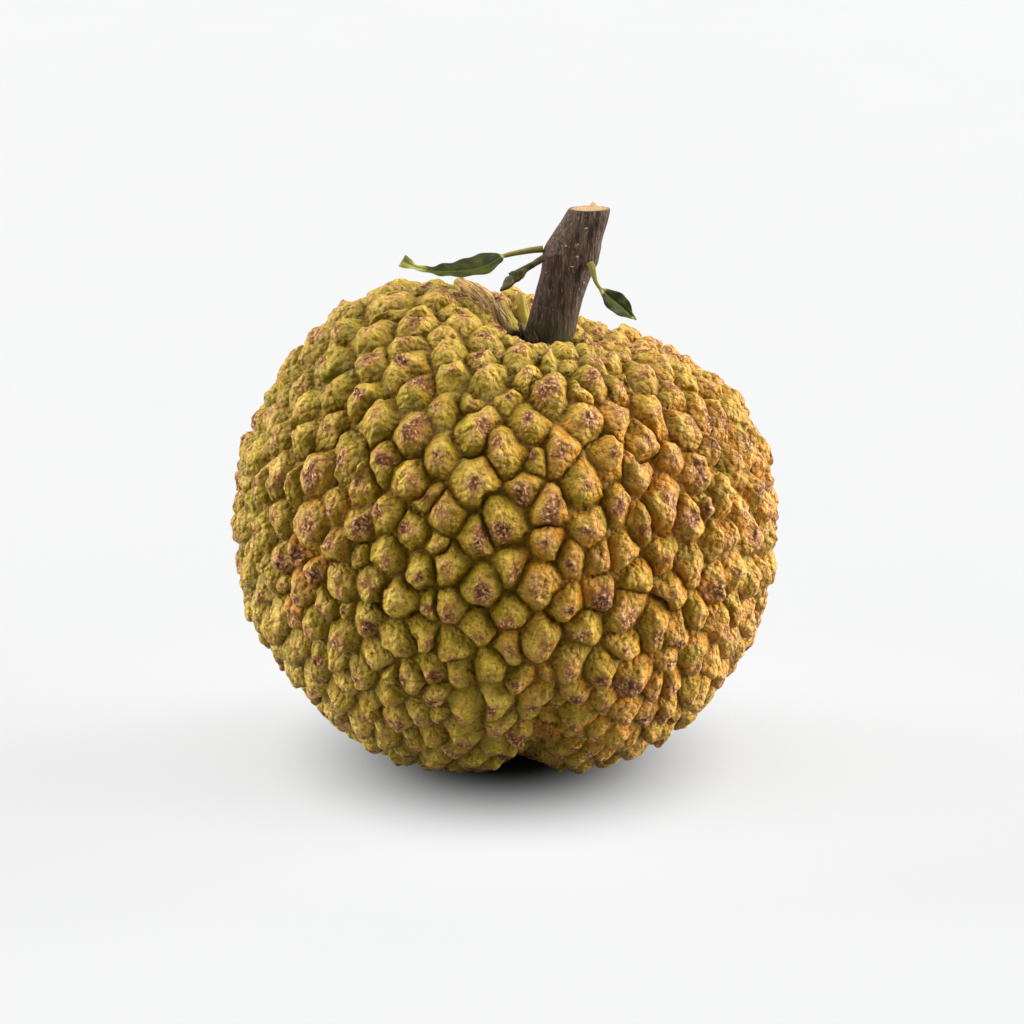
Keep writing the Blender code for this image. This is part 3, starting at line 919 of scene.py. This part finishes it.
bark, tree, shader = new_material("wrinkled_bark_and_cut_wood", 0.8, 0.10)
long_grain = grain(tree, 1100, 5, 0.6, (1, 1, 0.10), 0.4)
fine_grain = grain(tree, 3200, 5, 0.6, (1, 1, 0.16), 0.2)
patchy = grain(tree, 330, 4, 0.6, (1, 1, 0.5))
speck = grain(tree, 2600, 3, 0.6)
colour = blend(ramp(long_grain, 0.36, 0.66), (0.024, 0.0145, 0.0085), (0.066, 0.043, 0.028))
colour = blend(ramp(fine_grain, 0.50, 0.70), colour, (0.150, 0.102, 0.070))
colour = blend(ramp(patchy, 0.50, 0.70), colour, (0.070, 0.042, 0.034))
moss = fact_in(tree, "moss")
colour = blend(times(ramp(moss, 0.1, 1.0), 0.75), colour, (0.036, 0.036, 0.006))
colour = blend(ramp(speck, 0.69, 0.74), colour, (0.30, 0.21, 0.13))
apart = vectors("DISTANCE", place_in(tree), tuple(cut_middle))
rings_seen = sums("SINE", times(apart, 9500.0))
wood = blend(ramp(rings_seen, -1.0, 1.0), (0.27, 0.165, 0.080), (0.38, 0.255, 0.135))
wood = blend(ramp(grain(tree, 1500, 4, 0.6), 0.50, 0.75), wood, (0.24, 0.135, 0.060))
wood = blend(ramp(apart, 0.0030, 0.0036), wood, (0.14, 0.075, 0.035))
cut = fact_in(tree, "cut")
colour = blend(ramp(cut, 0.35, 0.75), colour, wood)
feed(shader, "Base Color", colour)
feed(shader, "Roughness", plus(times(patchy, 0.3), 0.62))
raise_surface(shader, plus(long_grain, times(fine_grain, 0.5)), 0.0008)
stalk_bark.data.materials.append(bark)
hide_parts("stem")
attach(stalk_bark, "root")


# The pores in the bark
# Small pale corky pores that stand a little proud of the bark, scattered along the stalk and drawn
# out across it. One small dome is repeated on the bark's surface by a tree.

PORES = {"Pore spacing": 0.0011, "Pore size": 0.00017, "Pore seed": 8}
# The rings of the bark between which pores sit, clear of the stalk's foot and its cut end
PORE_ROWS = (62, STALK_UP - 4)

pore_tree, given = growing_tree("bark_pores", "Bark", "Pores", PORES)


def chance(tree, seed, low, high):
    """A random number or vector from low to high, another for each point."""
    kind, first, output = ("FLOAT", 2, 1) if isinstance(low, float) else ("FLOAT_VECTOR", 0, 0)
    sources = {first: low, first + 1: high, "Seed": seed}
    return add_node(tree, "FunctionNodeRandomValue", sources, data_type=kind).outputs[output]


sources = {"Mesh": given["Bark"], "Distance Min": given["Pore spacing"], "Seed": given["Pore seed"]}
sources["Density Max"] = 70000.0
scatter = add_node(
    pore_tree, "GeometryNodeDistributePointsOnFaces", sources, distribute_method="POISSON"
).outputs
dome = add_node(pore_tree, "GeometryNodeMeshIcoSphere", {"Radius": 1.0, "Subdivisions": 2}).outputs["Mesh"]
limits = {"X": (0.7, 2.1), "Y": (0.6, 1.0), "Z": (0.25, 0.5)}
sources = {side: chance(pore_tree, k + 1, *limits[side]) for k, side in enumerate(limits)}
extent = add_node(pore_tree, "ShaderNodeCombineXYZ", sources).outputs["Vector"]
extent = vectors("SCALE", extent, given["Pore size"])
sources = {"Points": scatter["Points"], "Instance": dome, "Rotation": scatter["Rotation"], "Scale": extent}
set_out = add_node(pore_tree, "GeometryNodeInstanceOnPoints", sources).outputs["Instances"]
pale_cork, tree, shader = new_material("pale_cork", 0.9)
crumb = grain(tree, 5200, 3)
feed(shader, "Base Color", blend(crumb, (0.15, 0.095, 0.052), (0.44, 0.31, 0.19)))
raise_surface(shader, crumb, 0.0001)
end_tree(set_out, pale_cork)
low, high = (STALK_AROUND * row for row in PORE_ROWS)
bark_faces = [tuple(face.vertices) for face in stalk_bark.data.polygons]
bark_faces = [face for face in bark_faces if low < min(face) and max(face) < high]
bark_verts = [v.co for v in stalk_bark.data.vertices]
bark_pores = grown(mesh_piece("bark_pores", bark_verts, bark_faces), pore_tree, PORES)
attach(bark_pores, "root")


# The dry scraps round the stalk's foot
# Withered brown bracts and stubs of old twig that stand in the hollow round the foot of the stalk,
# thin, curled and torn. A tree sets one curled scrap round the foot in many sizes.

SCRAPS = {"Scraps in ring": 15, "Ring radius": 0.0052, "Scrap height": 0.0025, "Scrap seed": 5}

scrap_tree, given = growing_tree("foot_scraps", "Scrap", "Scraps", SCRAPS)
sources = {"Vertices": given["Scraps in ring"], "Radius": given["Ring radius"]}
hoop = add_node(scrap_tree, "GeometryNodeMeshCircle", sources).outputs["Mesh"]
spread = chance(scrap_tree, given["Scrap seed"], (-0.0005, -0.0005, -0.0004), (0.0007, 0.0007, 0.0006))
strewn = add_node(scrap_tree, "GeometryNodeSetPosition", {"Geometry": hoop, "Offset": spread})
spot = add_node(scrap_tree, "GeometryNodeInputPosition").outputs["Position"]
split = add_node(scrap_tree, "ShaderNodeSeparateXYZ", {"Vector": spot}).outputs
sources = {"Y": chance(scrap_tree, 21, -0.15, 0.75), "Z": sums("ARCTAN2", split["Y"], split["X"])}
facing = add_node(scrap_tree, "ShaderNodeCombineXYZ", sources).outputs["Vector"]
tall = vectors("SCALE", chance(scrap_tree, 33, (0.5, 0.45, 0.35), (1.3, 1.25, 1.25)), given["Scrap height"])
sources = {"Points": strewn.outputs["Geometry"], "Instance": given["Scrap"], "Rotation": facing}
sources["Scale"] = tall
set_out = add_node(scrap_tree, "GeometryNodeInstanceOnPoints", sources).outputs["Instances"]
withered, tree, shader = new_material("withered_bract", 0.9)
crinkle = grain(tree, 1500, 4, 0.6, (1, 1, 0.3))
feed(shader, "Base Color", blend(ramp(crinkle, 0.4, 0.66), (0.016, 0.007, 0.004), (0.12, 0.060, 0.030)))
raise_surface(shader, crinkle, 0.0003)
end_tree(set_out, withered)

# One scrap, a unit high: a curled pointed husk, closed at its foot and open in a thin hood
HUSK_LEVELS = 8
HUSK_AROUND = 12
husk_rings = []
for level in np.linspace(0, 1, HUSK_LEVELS):
    half = 0.42 * math.sqrt(max(1 - level**1.6, 0.004))
    bend = 0.30 * level**2
    ring = []
    for turn in turns_round(HUSK_AROUND):
        width, deep = math.cos(turn) * half, math.sin(turn) * half * 0.32
        out = deep + bend + 0.55 * width**2 * (0.3 - level)
        ring.append((out, width, level * (1 - 0.12 * math.cos(2 * turn))))
    husk_rings.append(ring)
dry_scraps = tube(husk_rings, "dry_scraps")
grown(dry_scraps, scrap_tree, SCRAPS)
foot = STALK_ROWS[2]
lean = Matrix.Translation(Vector((foot[1] + 0.1, 0, foot[0] - 0.4)) * MM) @ Matrix.Rotation(0.21, 4, "Y")
dry_scraps.data.transform(lean)
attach(dry_scraps, "root")


# The long florets by the stalk
# Left of the stalk some florets are drawn out into long strips that run down into the hollow. They are
# fleshy and wrinkled lengthwise, dry and tan on their ridges, and lie against one another.

# Places of each strip on the plan, from its far end to the hollow, then its half width
FLORET_STRIPS = (
    (((-8.6, 8.5), (-5.6, 4.8), (-3.0, 1.0), (-0.9, -2.4)), 1.70),
    (((-6.6, 10.0), (-3.6, 6.0), (-1.0, 2.3), (0.9, -1.0)), 1.45),
    (((-4.2, 11.0), (-1.6, 7.2), (0.4, 4.0), (2.1, 1.0)), 1.35),
    (((-0.8, 11.0), (1.0, 7.6), (2.3, 4.8), (3.2, 2.6)), 1.40),
    (((2.9, 11.5), (3.8, 8.6), (4.3, 6.2), (4.7, 4.6)), 1.30),
)
STRIP_STEPS = 90
STRIP_AROUND = 56


def heading(middles, k):
    """Which way the row of points runs at the kth."""
    return Vector(middles[min(k + 1, len(middles) - 1)] - middles[max(k - 1, 0)]).normalized()


under = BVHTree.FromObject(skin_pieces[-1], bpy.context.evaluated_depsgraph_get())
floret_strips = []
for number, (plan, half_width) in enumerate(FLORET_STRIPS):
    flat_path = curve_rows(plan, STRIP_STEPS)
    heights = []
    for x, y in flat_path:
        hit = under.ray_cast(Vector((x * MM, y * MM, 0.2)), Vector((0, 0, -1)))[0]
        heights.append(hit.z / MM)
    shares = np.linspace(-1, 1, len(flat_path))
    powers = np.polynomial.polynomial.polyfit(shares, heights, 3)
    smooth_height = np.polynomial.polynomial.polyval(shares, powers)
    middles = np.column_stack([flat_path, smooth_height + 0.75])
    rings, across_facts, along_facts = [], [], []
    last = STRIP_STEPS - 1
    for k, middle in enumerate(middles):
        along = heading(middles, k)
        side = along.cross(Vector((-0.25, -0.35, 0.9))).normalized()
        up = side.cross(along)
        taper = math.sin(math.pi * (0.12 + 0.80 * k / last)) ** 0.45
        ring = []
        for turn in turns_round(STRIP_AROUND):
            x, y = math.cos(turn), math.sin(turn)
            ridge = noise.noise(Vector((x * 2.6, y * 2.6 + number * 9, k * 0.025))) * 0.20
            ridge += noise.noise(Vector((x * 7, y * 7 + number * 9, k * 0.05))) * 0.10
            ridge += noise.noise(Vector((x, y + number * 9, k * 0.11))) * 0.14
            reach = taper * half_width * (1 + ridge)
            ring.append((Vector(middle) + side * x * reach + up * y * reach * 0.85) * MM)
            across_facts.append(turn * 1.3 + number * 20)
            along_facts.append(k / last)
        rings.append(ring)
    strip = tube(rings, "floret_strip_%d" % number)
    keep_facts(strip, across=across_facts, along=along_facts)
    floret_strips.append(strip)
strip_skin, tree, shader = new_material("dry_floret_skin", 0.6, 0.15)
across = fact_in(tree, "across")
along = fact_in(tree, "along")
track = add_node(tree, "ShaderNodeCombineXYZ", {"X": across, "Y": along}).outputs["Vector"]
sources = {"Vector": track, "Scale": 3.0, "Detail": 6.0, "Roughness": 0.65}
streak = add_node(tree, "ShaderNodeTexNoise", sources).outputs["Fac"]
patch = grain(tree, 330, 4, 0.6)
colour = blend(ramp(streak, 0.36, 0.62), (0.13, 0.062, 0.012), (0.58, 0.36, 0.115))
rightward = add_node(tree, "ShaderNodeSeparateXYZ", {"Vector": place_in(tree)}).outputs["X"]
greener = plus(patch, ramp(rightward, -0.0015, 0.0015))
colour = blend(times(ramp(greener, 0.60, 1.60), 0.85), colour, (0.34, 0.25, 0.022))
colour = blend(ramp(grain(tree, 1500, 3), 0.58, 0.70), colour, (0.12, 0.050, 0.020))
# Painted shade: each strip darkens towards its end down in the hollow at the stalk's foot.
colour = blend(ramp(along, 0.72, 0.98), colour, (0.060, 0.026, 0.012))
feed(shader, "Base Color", colour)
raise_surface(shader, plus(streak, times(grain(tree, 1300, 4), 0.4)), 0.0012)
for strip in floret_strips:
    strip.data.materials.append(strip_skin)
    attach(strip, "root")


# The leaves
# Two small leathery leaves on round yellow-green stalks. Each blade is folded a little along its
# midrib and shows fine side veins; the left one is old, its tip curled over with the pale side up.

# Midrib points, half widths and half thicknesses, from the woody stalk out
LEFT_LEAF = (
    (6.9, -0.6, 94.1, 0.68, 0.64),
    (5.2, -0.7, 93.95, 0.60, 0.58),
    (3.4, -1.0, 93.7, 0.53, 0.52),
    (1.6, -1.3, 93.4, 0.47, 0.46),
    (0.3, -1.5, 93.1, 0.45, 0.42),
    (-0.4, -1.6, 92.9, 0.75, 0.30),
    (-1.5, -1.8, 92.15, 2.8, 0.20),
    (-3.5, -2.1, 91.1, 3.8, 0.18),
    (-6.0, -2.4, 90.5, 3.7, 0.17),
    (-8.5, -2.6, 90.25, 3.2, 0.17),
    (-10.7, -2.7, 90.2, 2.5, 0.17),
    (-12.6, -2.8, 90.3, 1.70, 0.16),
    (-14.4, -2.8, 90.6, 1.00, 0.14),
    (-16.2, -2.8, 91.1, 0.80, 0.12),
    (-17.6, -2.7, 91.8, 1.00, 0.10),
    (-18.5, -2.6, 92.4, 1.30, 0.08),
)
RIGHT_LEAF = (
    (15.3, -4.4, 92.2, 0.62, 0.62),
    (15.7, -4.8, 91.3, 0.64, 0.64),
    (16.0, -5.1, 90.0, 0.50, 0.50),
    (16.5, -5.4, 88.6, 0.36, 0.36),
    (17.2, -5.6, 87.6, 0.36, 0.30),
    (17.8, -5.65, 87.0, 0.90, 0.22),
    (18.8, -5.7, 86.1, 1.75, 0.18),
    (20.0, -5.8, 85.1, 2.10, 0.17),
    (21.2, -5.8, 84.1, 1.75, 0.16),
    (22.4, -5.8, 83.0, 0.95, 0.14),
    (23.1, -5.8, 82.5, 0.42, 0.12),
    (23.7, -5.8, 82.0, 0.10, 0.08),
)
LEAF_AROUND = 52


def leaf(name, rows, face, fold, twist, curl, veins_to, along_count):
    """A stalked leaf lofted along its midrib, its blade folded, waved and curled at the tip."""
    rows = curve_rows(rows, along_count)
    middles = rows[:, :3]
    rings, across_facts, along_facts, sheet_facts = [], [], [], []
    for k, (_, _, _, half_width, half_high) in enumerate(rows):
        along = heading(middles, k)
        up = (face - along * face.dot(along)).normalized()
        far = k / (along_count - 1)
        turned = Matrix.Rotation(twist * far + curl * max(0.0, (far - 0.80) / 0.20) ** 1.5, 3, along)
        up = turned @ up
        side = along.cross(up)
        blade = min(1.0, max(0.0, (half_width / max(half_high, 1e-6) - 1.3) / 4))
        ring = []
        for i in range(LEAF_AROUND):
            turn = 2 * math.pi * i / LEAF_AROUND
            out, over = math.cos(turn), math.sin(turn)
            wave = noise.noise(Vector((k * 0.07, 3.0 if out > 0 else 8.0, 0))) * 0.10 * blade
            width = out * half_width * (1 + wave * abs(out))
            lift = blade * (fold * abs(width) + 0.16 * math.sin(k * 0.42 + 2 * out) * out**2)
            rib = blade * 0.10 * math.exp(-((width / 0.22) ** 2)) * (-1 if over > 0 else -2.2)
            high = over * half_high + lift + rib
            ring.append(middles[k] + np.array(side) * width + np.array(up) * high)
            across_facts.append(width)
            along_facts.append(far * veins_to)
            sheet_facts.append(blade * (1.0 if over > 0 else 0.5))
        rings.append(np.array(ring) * MM)
    piece = tube(rings, name)
    keep_facts(piece, across=across_facts, along=along_facts, sheet=sheet_facts)
    return piece


leaf_left_blade = leaf("leaf_left_blade", LEFT_LEAF, Vector((0.0, -0.24, 1.0)), 0.20, -0.15, -1.4, 10, 130)
leaf_right_blade = leaf("leaf_right_blade", RIGHT_LEAF, Vector((0.35, -0.85, 0.45)), 0.16, 0.0, 0.3, 7, 90)

leaf_skin, tree, shader = new_material("leathery_leaf", 0.45, 0.07)
across = fact_in(tree, "across")
along = fact_in(tree, "along")
sheet = fact_in(tree, "sheet")
aside = sums("ABSOLUTE", across)
midrib = minus(1.0, ramp(aside, 0.12, 0.36))
slant = minus(times(along, 7.5), times(aside, 2.2))
side_vein = ramp(sums("SINE", slant), 0.90, 1.0)
vein = sums("MAXIMUM", midrib, times(side_vein, 0.3))
blotch = grain(tree, 330, 4)
small = grain(tree, 2400, 4)
green = blend(ramp(blotch, 0.35, 0.70), (0.0075, 0.0095, 0.0003), (0.032, 0.037, 0.0010))
green = blend(ramp(small, 0.62, 0.78), green, (0.060, 0.055, 0.008))
green = blend(times(vein, 0.36), green, (0.095, 0.100, 0.016))
pale = blend(small, (0.13, 0.13, 0.022), (0.27, 0.275, 0.080))
green = blend(ramp(sheet, 0.45, 0.95), pale, green)
green = blend(ramp(along, 7.7, 8.4), green, pale)
stalk_green = blend(blotch, (0.085, 0.070, 0.012), (0.20, 0.175, 0.035))
green = blend(ramp(sheet, 0.02, 0.30), stalk_green, green)
feed(shader, "Base Color", green)
feed(shader, "Roughness", plus(times(small, 0.25), 0.32))
leaf_height = plus(times(vein, -0.6), times(small, 0.5))
raise_surface(shader, leaf_height, 0.00018)
for piece, node in ((leaf_left_blade, "leaf_left"), (leaf_right_blade, "leaf_right")):
    piece.data.materials.append(leaf_skin)
    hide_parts(node)
    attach(piece, "root")


# The bud twig
# A short dark side twig with a knuckle near its end and a closed bud, whose pointed scales lap over
# one another. Its bark is smooth and greenish, with a small dry spur at the knuckle.

# Midline points and radii of the twig and its spur; each bud scale's two ends and half width
TWIG_ROWS = (
    (7.0, -3.4, 92.9, 0.62, 0.62),
    (6.0, -3.45, 92.3, 0.60, 0.60),
    (5.0, -3.6, 91.7, 0.58, 0.58),
    (4.0, -3.7, 91.1, 0.60, 0.60),
    (3.3, -3.85, 90.65, 0.74, 0.72),
    (2.7, -4.0, 90.1, 0.97, 0.92),
    (2.1, -4.15, 89.6, 0.98, 0.90),
    (1.5, -4.3, 89.1, 0.80, 0.74),
    (0.8, -4.5, 88.5, 0.82, 0.70),
    (0.1, -4.75, 87.9, 0.66, 0.54),
    (-0.5, -4.95, 87.4, 0.34, 0.30),
    (-0.85, -5.05, 87.1, 0.10, 0.10),
)
BUD_SCALES = (
    ((1.9, -4.3, 89.8), (-0.5, -5.3, 87.5), 0.80),
    ((1.6, -4.2, 89.4), (0.5, -4.6, 87.4), 0.66),
    ((2.2, -4.2, 89.9), (0.4, -4.5, 89.0), 0.50),
)
SPUR_ROWS = ((2.3, -4.1, 90.2, 0.50, 0.45), (1.4, -4.3, 90.3, 0.40, 0.32), (0.7, -4.4, 90.1, 0.18, 0.15))


def bent_tube(name, rows, count, around, lump=0.06):
    """A round, slightly lumpy tube along the rows of point and radii."""
    rows = curve_rows(rows, count)
    rings = []
    for k, (x, y, z, wide, high) in enumerate(rows):
        along = heading(rows[:, :3], k)
        side = along.cross(Vector((0.1, -0.9, 0.45))).normalized()
        up = side.cross(along)
        ring = []
        for turn in turns_round(around):
            out = side * math.cos(turn) * wide + up * math.sin(turn) * high
            out *= 1 + lump * 2 * noise.noise((Vector((x, y, z)) + out) * 1.3)
            ring.append((Vector((x, y, z)) + out) * MM)
        rings.append(ring)
    return tube(rings, name)


twig_shoot = bent_tube("twig_shoot", TWIG_ROWS, count=64, around=28)
bud_scales = []
for number, (start, end, wide) in enumerate(BUD_SCALES):
    start, end = np.array(start), np.array(end)
    share = np.linspace(0, 1, 7)[:, None]
    widths = np.sin(np.pi * np.clip(share * 0.80 + 0.17, 0, 1)) * wide
    bulge = np.array((-0.25, -0.35, 0.35)) * np.sin(np.pi * share) * 0.5
    rows = np.hstack([start + (end - start) * share + bulge, widths, widths * 0.38 + 0.03])
    bud_scales.append(bent_tube("bud_scale_%d" % number, rows, count=22, around=16, lump=0.05))
bud_scales.append(bent_tube("twig_spur", SPUR_ROWS, count=14, around=14, lump=0.15))
twig_bark, tree, shader = new_material("green_twig_bark", 0.6, 0.1)
streak = grain(tree, 1500, 4, 0.6, (0.4, 1, 0.5))
fleck = grain(tree, 3400, 3)
colour = blend(ramp(streak, 0.35, 0.68), (0.020, 0.017, 0.004), (0.085, 0.070, 0.018))
colour = blend(ramp(fleck, 0.62, 0.75), colour, (0.13, 0.11, 0.045))
feed(shader, "Base Color", colour)
raise_surface(shader, streak, 0.0002)
scale_skin, tree, shader = new_material("bud_scale_skin", 0.5)
streak = grain(tree, 1200, 4)
colour = blend(ramp(streak, 0.40, 0.66), (0.020, 0.020, 0.005), (0.115, 0.100, 0.028))
feed(shader, "Base Color", colour)
raise_surface(shader, streak, 0.0002)
twig_shoot.data.materials.append(twig_bark)
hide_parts("bud_twig")
for piece in (twig_shoot, *bud_scales):
    if piece is not twig_shoot:
        piece.data.materials.append(scale_skin)
    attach(piece, "root")
